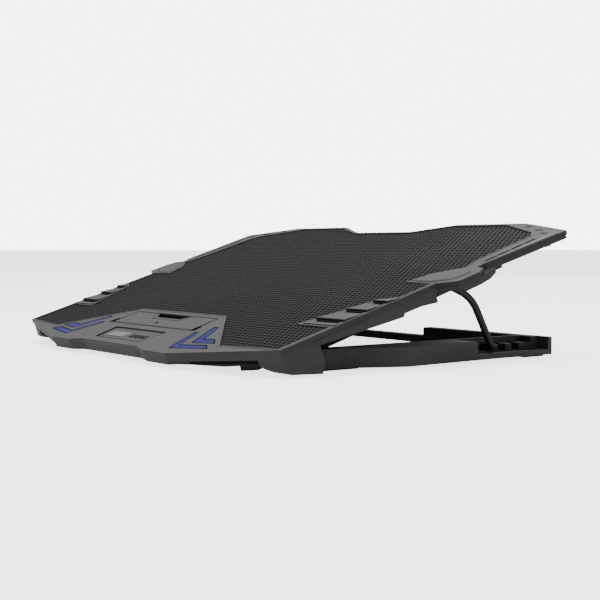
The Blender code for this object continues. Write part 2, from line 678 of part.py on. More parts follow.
def add_blade(shape, rows, thick=1.1):
    """One closed blade: the rows of points as its lower face, and the same raised."""
    layers = []
    for lift in (0, thick):
        layers.append(
            [[shape.verts.new((p + Vector((0, 0, lift))) * MM) for p in row] for row in rows]
        )
    low, high = layers
    last, end = len(rows) - 1, len(rows[0]) - 1
    for i in range(last):
        for j in range(end):
            corners = [(i, j), (i + 1, j), (i + 1, j + 1), (i, j + 1)]
            shape.faces.new([high[a][b] for a, b in corners])
            shape.faces.new([low[a][b] for a, b in reversed(corners)])
    rim = [(i, 0) for i in range(last)] + [(last, j) for j in range(end)]
    rim += [(i, end) for i in range(last, 0, -1)] + [(0, j) for j in range(end, 0, -1)]
    for k, (a, b) in enumerate(rim):
        c, d = rim[(k + 1) % len(rim)]
        shape.faces.new([low[a][b], low[c][d], high[c][d], high[a][b]])


def fan_rotor(name, x, y, half, count):
    """A hub and its blades, about its own origin on the fan's axis."""
    hub = half * 0.34
    tip = half - FAN_RIM - 1.4
    low, high = FAN_LOW + FAN_FLOOR + 0.8, FAN_TOP - 1.2
    rotor = rod(f"fan_rotor_{name}", hub, (low, high), (0, 0), BLACK, DECK, "Z", 28)
    blades = blade_mesh(hub, tip, low + 1, high - 2.4, count)
    boolean(rotor, place(f"blades_{name}", blades, None, DECK, helper=True), "UNION")
    settle(rotor)
    rotor.location = (x * MM, y * MM, 0)
    return rotor


def make_fans():
    for name, x, y, half, count in FANS:
        fan_frame(name, x, y, half)
        guard_radius = half - FAN_RIM - GAP
        guard = circle(x, y, guard_radius, 40)
        plate(f"fan_guard_{name}", [guard], TRAY_LOW, TRAY_LOW + 1.6, DARK, DECK)
    fan_rotor(*FANS[0])
    small = fan_rotor(*FANS[1])
    for name, x, y, _, _ in FANS[2:]:
        copy = place(f"fan_rotor_{name}", small.data, BLACK, DECK)
        copy.location = (x * MM, y * MM, 0)


# ---------------------------------------------------------------- legs


def rounded(corners, bend, steps=5):
    """A path through these corners with each inner one replaced by a smooth curve."""
    path = [corners[0]]
    for before, corner, after in zip(corners, corners[1:], corners[2:]):
        start = corner + (before - corner).normalized() * min(bend, (before - corner).length / 2)
        end = corner + (after - corner).normalized() * min(bend, (after - corner).length / 2)
        for i in range(steps + 1):
            t = i / steps
            path.append(start * (1 - t) ** 2 + corner * 2 * t * (1 - t) + end * t**2)
    return path + [corners[-1]]


def leg_corners():
    """The leg's knee and foot about its pivot, in the deck's axes."""
    spots = []
    for y, z in ((KNEE_Y, KNEE_Z), (FOOT_Y, FOOT_Z)):
        up = z - DECK_FRONT_Z
        v = y * math.cos(TILT) + up * math.sin(TILT)
        w = up * math.cos(TILT) - y * math.sin(TILT)
        spots.append((v - PIVOT_V, w - PIVOT_W))
    return spots


def make_legs():
    (knee_v, knee_w), (foot_v, foot_w) = leg_corners()
    for side, name in ((-1, "left"), (1, "right")):
        corners = [
            Vector((side * LEG_PIN_X, 0, 0)),
            Vector((side * LEG_X, 0, 0)),
            Vector((side * LEG_X, knee_v, knee_w)),
            Vector((side * LEG_X, foot_v, foot_w)),
        ]
        path = rounded(corners[:3], 4.5)[:-1] + rounded(corners[1:], KNEE_BEND)[1:]
        curve = bpy.data.curves.new(f"leg_{name}", "CURVE")
        curve.dimensions = "3D"
        curve.bevel_depth = LEG_RADIUS * MM
        curve.bevel_resolution = 3
        curve.use_fill_caps = True
        spline = curve.splines.new("POLY")
        spline.points.add(len(path) - 1)
        for point, spot in zip(spline.points, path):
            point.co = (*(spot * MM), 1)
        leg = place(f"support_leg_{name}", curve_to_mesh(curve, f"leg_{name}"), WIRE, DECK)
        leg.location = (0, PIVOT_V * MM, PIVOT_W * MM)
        make_bracket(side, name)


def make_bracket(side, name):
    """The block under the deck that a leg's pin turns in."""
    ends = sorted((side * 148.2, side * 162.4))
    top, low = PAN_LOW - GAP, PIVOT_W - PIN_BORE - 0.9
    profile = [(PIVOT_V - 50, top), (PIVOT_V - 50, top - 2.5), (PIVOT_V - 38, low + 0.6)]
    profile += [(PIVOT_V - 20, low)]
    profile += [(PIVOT_V + 4, low), (PIVOT_V + 8, top - 2), (PIVOT_V + 8, top)]
    bracket = section(f"leg_bracket_{name}", profile, *ends, BLACK, DECK)
    bore_ends = sorted((side * 146, side * 165))
    centre = (PIVOT_V, PIVOT_W)
    bore = rod(f"leg_bore_{name}", LEG_RADIUS + 0.25, bore_ends, centre, None, DECK, helper=True)
    boolean(bracket, bore)


def make_deck():
    make_top_frame()
    make_sheet()
    make_lenses()
    make_panel_parts()
    make_stop()
    make_lower_shell()
    make_screws()
    make_front_feet()
    make_sockets()
    make_fans()
    make_legs()


make_base()
make_deck()
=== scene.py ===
# %% [markdown]
# # A laptop cooling pad, from its frame to its finish
#
# The frame gives every mechanical piece at its real place and size. This script gives
# each of them a finish, and adds the pieces whose look needs more detail than a solid
# model carries: the perforated sheet, the guards' rings, the raised lines and the legs.
#
# Most of the new pieces are flat outlines carried through a small profile. So the first
# cells make three tools, for outlines, for surfaces and for finishes, and each later
# cell makes one kind of piece with them.

# %% Load the frame
import json
import math

import bpy
import numpy as np
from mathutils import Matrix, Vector


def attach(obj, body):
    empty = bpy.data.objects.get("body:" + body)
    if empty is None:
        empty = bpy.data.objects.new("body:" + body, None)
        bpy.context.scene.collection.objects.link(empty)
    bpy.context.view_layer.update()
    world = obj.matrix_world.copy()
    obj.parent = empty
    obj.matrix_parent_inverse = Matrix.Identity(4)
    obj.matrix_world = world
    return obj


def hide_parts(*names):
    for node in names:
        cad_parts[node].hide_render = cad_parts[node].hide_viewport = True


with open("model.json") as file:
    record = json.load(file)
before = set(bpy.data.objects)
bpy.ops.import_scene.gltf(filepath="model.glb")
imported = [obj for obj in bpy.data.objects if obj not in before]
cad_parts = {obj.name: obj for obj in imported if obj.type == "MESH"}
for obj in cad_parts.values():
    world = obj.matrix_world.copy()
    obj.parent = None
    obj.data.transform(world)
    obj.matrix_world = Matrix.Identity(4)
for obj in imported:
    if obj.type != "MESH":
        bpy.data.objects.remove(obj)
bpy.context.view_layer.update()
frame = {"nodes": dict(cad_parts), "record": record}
nodes, record = frame["nodes"], frame["record"]

# %% [markdown]
# ## The deck's own axes
#
# Everything on the deck is flat or nearly flat, but the deck leans back. It is easier to
# draw it lying down: X across, V back along the deck, W up from its top face, all in
# millimetres. One function then leans every point back at once. The alternative is to
# turn each object, but then no object would sit at the origin, and grain that follows
# the object's coordinates would differ from piece to piece.

# %% The deck's axes
TILT = math.radians(17.4)
FRONT_Z = 11.2  # height of the deck's front edge
MIDDLE_Y = 131.33  # the origin lies this far behind that edge
MILLIMETRE = 0.001
SIDES = {"left": -1, "right": 1}


def from_deck(points):
    """Deck millimetres to row metres: a turn about X by the tilt, then a shift.

    y = v cos(tilt) - w sin(tilt) - middle,  z = v sin(tilt) + w cos(tilt) + front height
    """
    x, v, w = np.asarray(points, float).reshape(-1, 3).T
    y = v * math.cos(TILT) - w * math.sin(TILT) - MIDDLE_Y
    z = v * math.sin(TILT) + w * math.cos(TILT) + FRONT_Z
    return np.stack([x, y, z], 1) * MILLIMETRE


print("a point at the deck's rear:", from_deck([[0, 278.6, 0]]).round(4).tolist())

# %% [markdown]
# ## Outlines
#
# An outline is a closed loop of corners, anticlockwise. Moving it inward by a distance
# keeps its corners sharp, as a mitred picture frame does. With that one operation a
# bead, a chamfer or a dished edge is only a list of distances and heights.

# %% Outline tools


def mirrored(half):
    """A whole loop from its right half, given from front to rear."""
    half = np.asarray(half, float)
    return np.concatenate([half, half[::-1] * [-1, 1]])


def to_side(loop, side):
    """The loop on the right or the left, and anticlockwise on both."""
    loop = np.asarray(loop, float)
    return loop if side > 0 else (loop * [-1, 1])[::-1]


def moved_in(loop, distance):
    """Each corner moved to where its two edges meet once both have moved inward.

    For unit edge directions a and b with inward normals m and n, the corner moves by
    distance * (m + n) / (1 + m.n), which is the mitre's length along its bisector.
    """
    before = loop - np.roll(loop, 1, 0)
    before /= np.linalg.norm(before, axis=1)[:, None]
    m = np.stack([-before[:, 1], before[:, 0]], 1)
    n = np.roll(m, -1, 0)
    return loop + distance * (m + n) / (1 + (m * n).sum(1))[:, None]


def inside(points, loop):
    """Which points lie in the loop: a ray along +X crosses it an odd number of times."""
    x, y = points[:, 0][:, None], points[:, 1][:, None]
    (x0, y0), (x1, y1) = loop.T, np.roll(loop, -1, 0).T
    spans = (y0 > y) != (y1 > y)
    crossing = x0 + (y - y0) * (x1 - x0) / np.where(y1 == y0, 1, y1 - y0)
    return (spans & (x < crossing)).sum(1) % 2 == 1


def nearest_on(points, loop):
    """For each point, the closest place on the loop and how far away it is."""
    a, b = loop, np.roll(loop, -1, 0)
    along = b - a
    share = ((points[:, None] - a) * along).sum(2) / (along * along).sum(1)
    places = a + np.clip(share, 0, 1)[..., None] * along
    away = np.linalg.norm(points[:, None] - places, axis=2)
    best = away.argmin(1)
    rows = np.arange(len(points))
    return places[rows, best], away[rows, best]


# The sheet's window on the right, from front to rear, and its mirror image.
WINDOW = mirrored([
    (58.8, 62.7), (119.7, 16.8), (177, 21.5), (178.4, 59.4), (144.7, 59.4), (150, 71.8),
    (158.5, 88.9), (165.7, 107.6), (180.6, 116), (181.6, 143), (156, 143.6), (162, 161),
    (179, 175), (174.5, 192), (174.5, 245), (168, 254), (125.5, 274.3), (70.5, 274.8),
    (34.5, 258.2),
])
print("the sheet's window has", len(WINDOW), "corners")

# %% [markdown]
# ## Surfaces
#
# A surface here is a grid: rings of points, one ring for each step of a profile, joined
# by four-sided faces. Grids are quick to make with arrays and easy to finish, because a
# ring is always a clean line round the piece. A flat top is one more face on the last
# ring. The pieces are thin and hard, so a small chamfer in the profile is what catches
# the light, and no subdivision is needed.

# %% Surface tools


def grid_faces(rows, columns, closed_rows=False):
    """Corner numbers of the faces between neighbouring rings, each ring being a row.

    Point j of ring i has the number i * columns + j. The last point of a ring is joined
    to its first, and with closed_rows the last ring is joined to the first one too.
    """
    i = np.arange(rows if closed_rows else rows - 1)[:, None]
    j = np.arange(columns)[None, :]
    after_i, after_j = (i + 1) % rows, (j + 1) % columns
    corners = (i * columns + j, i * columns + after_j, after_i * columns + after_j,
               after_i * columns + j)
    spread = [np.broadcast_to(corner, (i.size, j.size)) for corner in corners]
    return np.stack(spread, -1).reshape(-1, 4)


def add_piece(name, points, faces, body, finish, caps=(), smooth_angle=30.0):
    """A mesh object from arrays, riding on a body, with its finish and material slot."""
    mesh = bpy.data.meshes.new(name)
    counts = np.full(len(faces), 4)
    counts = np.append(counts, [len(cap) for cap in caps]).astype(np.int32)
    corners = np.concatenate([np.ravel(faces), *[np.ravel(cap) for cap in caps]])
    mesh.vertices.add(len(points))
    mesh.vertices.foreach_set("co", np.asarray(points, np.float32).ravel())
    mesh.loops.add(len(corners))
    mesh.loops.foreach_set("vertex_index", corners.astype(np.int32))
    mesh.polygons.add(len(counts))
    mesh.polygons.foreach_set("loop_start", (np.cumsum(counts) - counts).astype(np.int32))
    mesh.update(calc_edges=True)
    mesh.validate()
    mesh.shade_smooth()
    mesh.set_sharp_from_angle(angle=math.radians(smooth_angle))
    mesh.materials.append(finish)
    piece = bpy.data.objects.new(name, mesh)
    bpy.context.scene.collection.objects.link(piece)
    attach(piece, body)
    return piece


def carried(loop, profile, base=0.0):
    """Rings of deck points: for each (inward, height) of the profile, the moved loop."""
    rings = []
    for inward, height in profile:
        ring = moved_in(loop, inward)
        rings.append(np.column_stack([ring, np.full(len(ring), base + height)]))
    return np.concatenate(rings)


def bead(name, loop, profile, finish, base=0.0):
    """A closed band round a loop of the deck. Heights are counted from the base.

    The profile is a closed line too, drawn from inside to outside over the band's top.
    A plate's profile runs inward instead, so the faces here are turned round.
    """
    points = from_deck(carried(loop, profile, base))
    faces = grid_faces(len(profile), len(loop), closed_rows=True)[:, ::-1]
    return add_piece(name, points, faces, "deck", finish)


def raised(name, loop, profile, finish, body="deck", base=0.0):
    """A solid with sloping sides: rings from its foot to its top, and both ends closed."""
    points = from_deck(carried(loop, profile, base))
    faces = grid_faces(len(profile), len(loop))
    foot = np.arange(len(loop))[::-1]
    top = np.arange(len(loop)) + (len(profile) - 1) * len(loop)
    return add_piece(name, points, faces, body, finish, caps=(top, foot))


DOME = np.radians([89, 60, 30, 0])  # where a rounded end's rings lie on a quarter circle
ASLANT = (0.31, 0.42, 0.85)  # a direction no path follows, which gives the first normal


def tube(name, path, radius, sides, finish, body):
    """A round bar along a path in metres, its ends closed by a small dome.

    Each ring is path + r (cos(a) m + sin(a) n), where m and n are square to the path.
    At both ends r shrinks as the side of a quarter circle does, so the end is rounded.
    """
    path = np.asarray(path, float)
    ahead = np.gradient(path, axis=0)
    ahead /= np.linalg.norm(ahead, axis=1)[:, None]
    m = np.cross(ahead, ASLANT)
    m /= np.linalg.norm(m, axis=1)[:, None]
    n = np.cross(ahead, m)
    turn = np.linspace(0, 2 * math.pi, sides, endpoint=False)
    reach = radius * (1 - np.sin(DOME))[:, None]
    centres = np.concatenate([path[0] + ahead[0] * reach, path[1:-1],
                              path[-1] - ahead[-1] * reach[::-1]])
    repeats = np.ones(len(path), int)
    repeats[[0, -1]] = len(DOME)
    m, n = np.repeat(m, repeats, 0), np.repeat(n, repeats, 0)
    size = radius * np.concatenate([np.cos(DOME), np.ones(len(path) - 2),
                                    np.cos(DOME[::-1])])
    ring = np.cos(turn)[:, None] * m[:, None] + np.sin(turn)[:, None] * n[:, None]
    points = (centres[:, None] + size[:, None, None] * ring).reshape(-1, 3)
    faces = grid_faces(len(centres), sides)
    ends = (np.arange(sides)[::-1], np.arange(sides) + (len(centres) - 1) * sides)
    return add_piece(name, points, faces, body, finish, caps=ends, smooth_angle=50)


print("a ten by four ring of faces holds", len(grid_faces(10, 4)), "faces")

# %% [markdown]
# ## Finishes
#
# Moulded plastic is never one flat colour. It has a fine grain from its tool, slow
# changes of gloss where the plastic cooled unevenly, and pale rubbed places. Each of
# these is a noise at its own scale: about half a millimetre, a few centimetres, and a
# few millimetres with only its peaks kept. The grain drives the bump, the slow noise
# drives roughness, and the peaks lighten the colour. The same three layers with other
# scales make painted steel and rubber, so one function builds them all.

# %% Finish tools
MIDDLE = (0.3, 0.7)  # most of a noise's values lie between these
PEAK_CELLS = 420  # of the noise whose peaks are rubbed places, to the metre
PEAK_START, PEAK_FULL = 0.60, 0.80
PEAK_PALE, PEAK_ROUGH = 1.9, 0.2  # how a full peak scales the colour, adds to roughness
GRAIN_START, GRAIN_FULL = 0.35, 0.65
GRAIN_DARK, GRAIN_SHARE = 0.72, 0.18  # how the grain scales the colour, and its share
GLOSS_LESS, GLOSS_MORE = 0.07, 0.08  # how far the slow noise moves roughness
# Faces under SIDE_FACING take the painted side shade, darker as if lit only from above.
SIDE_FACING, TOP_FACING = 0.55, 0.95  # a side lies under the first, a top over the second
SIDE_DARK = 0.9  # how far the slow noise darkens a side's colour
BUMP_REACH = 0.0002  # metres


def add_node(tree, kind, settings=None, **inputs):
    """A shader node, its settings and its inputs. An input given as a socket is linked."""
    node = tree.nodes.new(kind)
    for key, value in (settings or {}).items():
        setattr(node, key, value)
    for key, value in inputs.items():
        socket = node.inputs[key.replace("_", " ")]
        if isinstance(value, bpy.types.NodeSocket):
            tree.links.new(value, socket)
        else:
            socket.default_value = value
    return node


def noise(tree, place, per_metre, detail=2.0, stretch=None):
    """Noise of this many cells to the metre. A stretch scales each axis on its own."""
    if stretch:
        mapping = add_node(tree, "ShaderNodeMapping", Vector=place)
        mapping.inputs["Scale"].default_value = stretch
        place = mapping.outputs["Vector"]
    made = add_node(tree, "ShaderNodeTexNoise", Vector=place, Scale=per_metre,
                    Detail=detail)
    return made.outputs["Fac"]


def ranged(tree, value, low, high, to_low, to_high):
    """A value between low and high, carried to between two others and kept there."""
    node = add_node(tree, "ShaderNodeMapRange", Value=value)
    for name, number in (("From Min", low), ("From Max", high), ("To Min", to_low),
                         ("To Max", to_high)):
        node.inputs[name].default_value = number
    return node.outputs["Result"]


def mixed(tree, share, first, second):
    """Two colours mixed by a share: share 0 gives the first, share 1 the second."""
    node = add_node(tree, "ShaderNodeMix", {"data_type": "RGBA"})
    tree.links.new(share, node.inputs["Factor"])
    # Its colour sockets share their names with number sockets, so they go by place.
    for socket, value in ((node.inputs[6], first), (node.inputs[7], second)):
        if isinstance(value, bpy.types.NodeSocket):
            tree.links.new(value, socket)
        else:
            socket.default_value = (*value, 1)
    return node.outputs[2]


def shade(colour, factor):
    """A colour made darker or lighter, none of its channels going past 1."""
    return tuple(min(1.0, channel * factor) for channel in colour)


def grey(level):
    """A colour with the same level in each channel."""
    return (level, level, level)


def new_finish(name, metallic=0.0, **constants):
    """A material, its tree, its shader and the object's own coordinates."""
    finish = bpy.data.materials.new(name)
    finish.use_nodes = True
    tree = finish.node_tree
    shader = tree.nodes["Principled BSDF"]
    shader.inputs["Metallic"].default_value = metallic
    for key, value in constants.items():
        shader.inputs[key.replace("_", " ")].default_value = value
    place = add_node(tree, "ShaderNodeTexCoord").outputs["Object"]
    return finish, tree, shader, place


def facing_up(tree):
    """1 where the object's own surface faces out of the deck's top, 0 on its sides.

    It is the dot product of the surface's direction and the deck's upward direction.
    Where it is 0 the colour is painted shade, as on a side lit only from above.
    """
    direction = add_node(tree, "ShaderNodeTexCoord").outputs["Normal"]
    dot = add_node(tree, "ShaderNodeVectorMath", {"operation": "DOT_PRODUCT"})
    tree.links.new(direction, dot.inputs[0])
    dot.inputs[1].default_value = (0, -math.sin(TILT), math.cos(TILT))
    return ranged(tree, dot.outputs["Value"], SIDE_FACING, TOP_FACING, 0, 1)


def layered(name, colour, rough, grain=2200, depth=0.25, slow=22, wear=0.25, tint=0.10,
            metallic=0.0, stretch=None, sides=None, **constants):
    """The three layers. grain, slow: cells to the metre. wear: how far peaks lighten.

    Colour goes from base * (1 - tint) to base * (1 + tint) with the slow noise, is then
    mixed towards a darker one by the grain, and towards a paler one on peaks.
    Roughness is rough, less or more a little with the slow noise, and more on peaks.
    The bump is depth * grain. With sides given, faces that don't look up out of the
    deck have that colour, a painted shade as if light fell only from above.
    """
    finish, tree, shader, place = new_finish(name, metallic, **constants)
    fine = noise(tree, place, grain, detail=1.0, stretch=stretch)
    broad = noise(tree, place, slow, detail=4.0)
    peaks = ranged(tree, noise(tree, place, PEAK_CELLS, detail=6.0), PEAK_START, PEAK_FULL,
                   0, wear)
    toned = mixed(tree, broad, shade(colour, 1 - tint), shade(colour, 1 + tint))
    grains = ranged(tree, fine, GRAIN_START, GRAIN_FULL, 0, GRAIN_SHARE)
    toned = mixed(tree, grains, toned, shade(colour, GRAIN_DARK))
    toned = mixed(tree, peaks, toned, shade(colour, PEAK_PALE))
    # Painted shade: faces that don't look up out of the deck take the darker sides colour.
    if sides:
        painted_side_shade = mixed(tree, broad, shade(sides, SIDE_DARK), sides)
        toned = mixed(tree, facing_up(tree), painted_side_shade, toned)
    tree.links.new(toned, shader.inputs["Base Color"])
    slow_gloss = ranged(tree, broad, *MIDDLE, rough - GLOSS_LESS, rough + GLOSS_MORE)
    gloss = add_node(tree, "ShaderNodeMath", {"operation": "ADD"})
    tree.links.new(slow_gloss, gloss.inputs[0])
    tree.links.new(ranged(tree, peaks, 0, 1, 0, PEAK_ROUGH), gloss.inputs[1])
    tree.links.new(gloss.outputs[0], shader.inputs["Roughness"])
    bump = add_node(tree, "ShaderNodeBump", Height=fine, Strength=depth,
                    Distance=BUMP_REACH)
    tree.links.new(bump.outputs["Normal"], shader.inputs["Normal"])
    return finish


print("a middle grey, a fifth darker:", shade(grey(0.5), 0.8))

# %% [markdown]
# The lens is the one finish that needs light inside it. A clear blue moulding over a
# diffuser looks deepest at its middle and paler where ribs run under it, so a wave of
# fine bands mixes two blues and lifts the surface a little.

# %% The finishes


def lens_finish():
    """Blue, banded: the base blue, darker along a wave's bands and paler in slow clouds."""
    finish, tree, shader, place = new_finish("blue_lens", Specular_IOR_Level=0.12)
    bands = add_node(tree, "ShaderNodeTexWave", {"bands_direction": "DIAGONAL"},
                     Vector=place, Scale=BAND_SCALE, Distortion=0.0).outputs["Fac"]
    clouds = noise(tree, place, CLOUD_CELLS, detail=3.0)
    toned = mixed(tree, ranged(tree, bands, 0, 1, 0, BAND_SHARE), LENS_BLUE,
                  shade(LENS_BLUE, BAND_DARK))
    toned = mixed(tree, ranged(tree, clouds, *MIDDLE, 0, CLOUD_SHARE), toned,
                  shade(LENS_BLUE, CLOUD_PALE))
    tree.links.new(toned, shader.inputs["Base Color"])
    tree.links.new(toned, shader.inputs["Emission Color"])
    shader.inputs["Emission Strength"].default_value = LENS_GLOW
    tree.links.new(ranged(tree, clouds, *MIDDLE, *LENS_ROUGH), shader.inputs["Roughness"])
    bump = add_node(tree, "ShaderNodeBump", Height=bands, Strength=0.2,
                    Distance=BUMP_REACH / 2)
    tree.links.new(bump.outputs["Normal"], shader.inputs["Normal"])
    return finish


def board_finish():
    """Green mask over copper: bricks give tracks, and a noise's peaks give solder dots."""
    finish, tree, shader, place = new_finish("circuit_board", Coat_Weight=0.4)
    tracks = add_node(tree, "ShaderNodeTexBrick", Vector=place, Scale=140.0,
                      Color1=(0.02, 0.13, 0.05, 1), Color2=(0.015, 0.10, 0.04, 1),
                      Mortar=(0.04, 0.20, 0.08, 1)).outputs["Color"]
    dots = ranged(tree, noise(tree, place, DOT_CELLS), DOT_START, DOT_FULL, 0, 1)
    tree.links.new(mixed(tree, dots, tracks, SOLDER), shader.inputs["Base Color"])
    tree.links.new(ranged(tree, dots, 0, 1, 0.45, 0.25), shader.inputs["Roughness"])
    return finish


LENS_BLUE = (0.0045, 0.0045, 0.14)
LENS_GLOW = 0.24
LENS_ROUGH = (0.22, 0.36)
BAND_SCALE, BAND_SHARE, BAND_DARK = 330.0, 0.6, 0.68
CLOUD_CELLS, CLOUD_SHARE, CLOUD_PALE = 60, 0.35, 1.25
SOLDER = (0.55, 0.55, 0.52)
DOT_CELLS, DOT_START, DOT_FULL = 700, 0.66, 0.70
# The sides' dark grey is painted shade: faces that don't look up are darkened as if lit
# only from above.
PAINTED_SIDE_SHADE_GREY = grey(0.0125)
FINISHES = {
    "grey_plastic": layered("grey_plastic", (0.086, 0.086, 0.087), 0.56, depth=0.35,
                            sides=PAINTED_SIDE_SHADE_GREY, Specular_IOR_Level=0.3),
    "dark_plastic": layered("dark_plastic", grey(0.024), 0.6, depth=0.40,
                            Specular_IOR_Level=0.25),
    "black_plastic": layered("black_plastic", grey(0.006), 0.48, wear=0.15,
                             Specular_IOR_Level=0.3),
    "black_steel_sheet": layered("black_steel_sheet", grey(0.031), 0.6, grain=3600,
                                 depth=0.55, slow=12, wear=0.12,
                                 Specular_IOR_Level=0.08),
    "painted_wire": layered("painted_wire", grey(0.005), 0.42, grain=1500, depth=0.2,
                            wear=0.3, Specular_IOR_Level=0.25),
    "rubber": layered("rubber", grey(0.006), 0.82, grain=1300, depth=0.7, wear=0.5),
    "steel": layered("steel", (0.48, 0.48, 0.50), 0.30, grain=1600, depth=0.15, wear=0.2,
                     metallic=1.0, stretch=(0.08, 1, 1)),
    "display_window": layered("display_window", (0.170, 0.170, 0.172), 0.30, grain=3000,
                              depth=0.05, slow=40, tint=0.14, wear=0.05),
    "blue_lens": lens_finish(),
    "circuit_board": board_finish(),
}
GREY, DARK = FINISHES["grey_plastic"], FINISHES["dark_plastic"]
EDGE = layered("rubbed_grey_edge", (0.092, 0.092, 0.093), 0.5, depth=0.25, wear=0.4,
               sides=PAINTED_SIDE_SHADE_GREY, Specular_IOR_Level=0.3)
# Painted shadow: black for the lines, crosses, mouths and linings that stand for shade in
# gaps, grooves and recesses.
SHADOW = layered("painted_shadow_black", grey(0.004), 0.7, wear=0.1, Specular_IOR_Level=0.1)
print("finishes:", ", ".join(FINISHES))

# %% [markdown]
# ## The frame's own pieces
#
# The frame's pieces keep their shape. Each gets the finish of its slot in the record. A
# small bevel is added as a modifier, because a moulded edge has a radius of a few tenths
# of a millimetre, and that radius is what shows as a light line. The frame's mesh comes
# with its corners split, so they're welded first or there would be no edges to bevel.

# %% Finish the frame's pieces
BEVELS = {"top_frame": 0.7, "lower_shell": 0.8, "base_frame": 0.8, "laptop_stop": 0.6}
SMALL_BEVEL = 0.25  # for every other piece, in millimetres like the ones above
WELD_WITHIN = 1e-6  # metres
for row in record["subparts"]:
    node = nodes[row["node"]]
    node.data.materials.clear()
    node.data.materials.append(FINISHES[row["material_slot"]])
    weld = node.modifiers.new("weld", "WELD")
    weld.merge_threshold = WELD_WITHIN
    bevel = node.modifiers.new("edge", "BEVEL")
    bevel.width = BEVELS.get(row["node"], SMALL_BEVEL) * MILLIMETRE
    bevel.segments = 2
    bevel.limit_method = "ANGLE"
    bevel.angle_limit = math.radians(40)
    bevel.harden_normals = False
print("bevelled", len(record["subparts"]), "pieces")

# %% [markdown]
# ## The perforated sheet
#
# The deck's top is steel sheet with staggered six-sided holes, so that air from the fans
# reaches the laptop. One cell is a hexagon with a smaller hexagon cut out of it: six
# faces on top, six below and six down the hole. A few thousand copies of it fill the
# window. Real sheet is punched first and then cut to shape, so cells at the border are
# cut through, and here their outer points are drawn back onto the window's outline.
# A texture would be lighter, but it has no depth when seen along the sheet.

# %% Make the perforated sheet
PITCH, HOLE = 4.4, 2.7  # between hole centres, and across a hole's flats
SHEET_HIGH, SHEET_LOW = -0.5, -1.2  # its two faces, as heights on the deck
SHEET_GAP = 0.3  # between the sheet and the window's edge


def hexagon_centres(outline, pitch):
    """Rows of centres a pitch apart, each row shifted by half a pitch from the last."""
    low, high = outline.min(0) - pitch, outline.max(0) + pitch
    rows = np.arange(low[1], high[1], pitch * math.sqrt(3) / 2)
    columns = np.arange(low[0], high[0], pitch)
    x = columns[None, :] + (np.arange(len(rows)) % 2)[:, None] * pitch / 2
    centres = np.stack([x, np.broadcast_to(rows[:, None], x.shape)], -1).reshape(-1, 2)
    near = nearest_on(centres, outline)[1] < pitch * 0.5
    return centres[inside(centres, outline) | near]


def drawn_back(points, outline):
    """Points outside the outline, moved to the closest place on it."""
    outside = ~inside(points, outline)
    points[outside] = nearest_on(points[outside], outline)[0]
    return points


def perforated_cells(outline, pitch, hole):
    """Corners of every cell and of its hole: centre + r (cos a, sin a) every 60 degrees."""
    centres = hexagon_centres(outline, pitch)
    angles = np.radians(30 + 60 * np.arange(6))
    ring = np.stack([np.cos(angles), np.sin(angles)], 1) / math.sqrt(3)
    corners = centres[:, None] + np.concatenate([ring * pitch, ring * hole])[None]
    return drawn_back(corners.reshape(-1, 2), outline).reshape(-1, 12, 2)


def cell_faces(cells):
    """Faces of all cells, whose 12 upper points are followed by the same 12 lower ones."""
    i = np.arange(6)
    j = (i + 1) % 6
    top = np.stack([i, j, j + 6, i + 6], 1)
    under = (top + 12)[:, ::-1]
    wall = np.stack([i + 6, j + 6, j + 18, i + 18], 1)
    one = np.concatenate([top, under, wall])
    return (one[None] + 24 * np.arange(cells)[:, None, None]).reshape(-1, 4)


def make_sheet():
    """The sheet, in place of the frame's plain one. Gives back its number of holes."""
    cells = perforated_cells(moved_in(WINDOW, SHEET_GAP), PITCH, HOLE)
    upper = np.concatenate([cells, np.full((*cells.shape[:2], 1), SHEET_HIGH)], 2)
    lower = np.concatenate([cells, np.full((*cells.shape[:2], 1), SHEET_LOW)], 2)
    points = from_deck(np.concatenate([upper, lower], 1))
    sheet = add_piece("perforated_sheet", points, cell_faces(len(cells)), "deck",
                      FINISHES["black_steel_sheet"], smooth_angle=20)
    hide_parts("mesh_sheet")
    return len(cells)


print("holes in the sheet:", make_sheet())

# %% [markdown]
# ## Raised lines
#
# Four kinds of thin line give the top its character. A pale bead frames the sheet, dark
# rings of painted shadow set off the blue lenses, a fine line of painted shadow marks the
# recess, the display and the stop, and small frames stand round the slots of the rear rims.
# All are one outline carried through a profile a fraction of a millimetre high. The
# profile's two sloping sides are what separate it from a painted stripe: one catches
# light and the other loses it.

# %% Make the raised lines
# Each profile is a list of (distance inward, height) in millimetres.
RIM = [(-0.05, -0.3), (-0.1, 0.22), (-0.45, 0.40), (-1.15, 0.40), (-1.6, 0.05),
       (-1.6, -0.2)]
RING = [(-0.35, -0.2), (-0.4, 0.10), (-0.55, 0.16), (-0.85, 0.16), (-1.0, 0.02),
        (-1.0, -0.1)]
FINE = [(0.1, -0.1), (0.1, 0.03), (-0.25, 0.05), (-0.6, 0.03), (-0.6, -0.1)]
STOP_ROOM = 0.25  # the lifted stop passes the line round it
CLEAR = [(inward - STOP_ROOM, height) for inward, height in FINE]
CHEVRONS = [  # the tip, the ends of arms a and b, and the width
    ((78.1, 4.6), (67.5, 30.5), (113.5, 10.2), 4.6),
    ((87.9, 16.2), (74.8, 41.8), (109.4, 18.8), 5.6),
]
ARM_NARROWS = 0.6  # arm a's width at its end, as a share of the full width
CUT_A, CUT_B = 0.2, 1.1  # how far each arm's inner side stops short, in widths
RIM_SLOT_X, RIM_SLOT_LONG = (183.15, 184.85), 10
RIM_SLOT_STARTS = (190, 203, 216, 229)
DISPLAY_W = -0.78  # the display's face, as a height on the deck


def crossing(p, along_p, q, along_q):
    """Where the line through p meets the line through q: p + s a, from two equations."""
    share = np.linalg.solve(np.column_stack([along_p, -along_q]), q - p)[0]
    return p + share * along_p


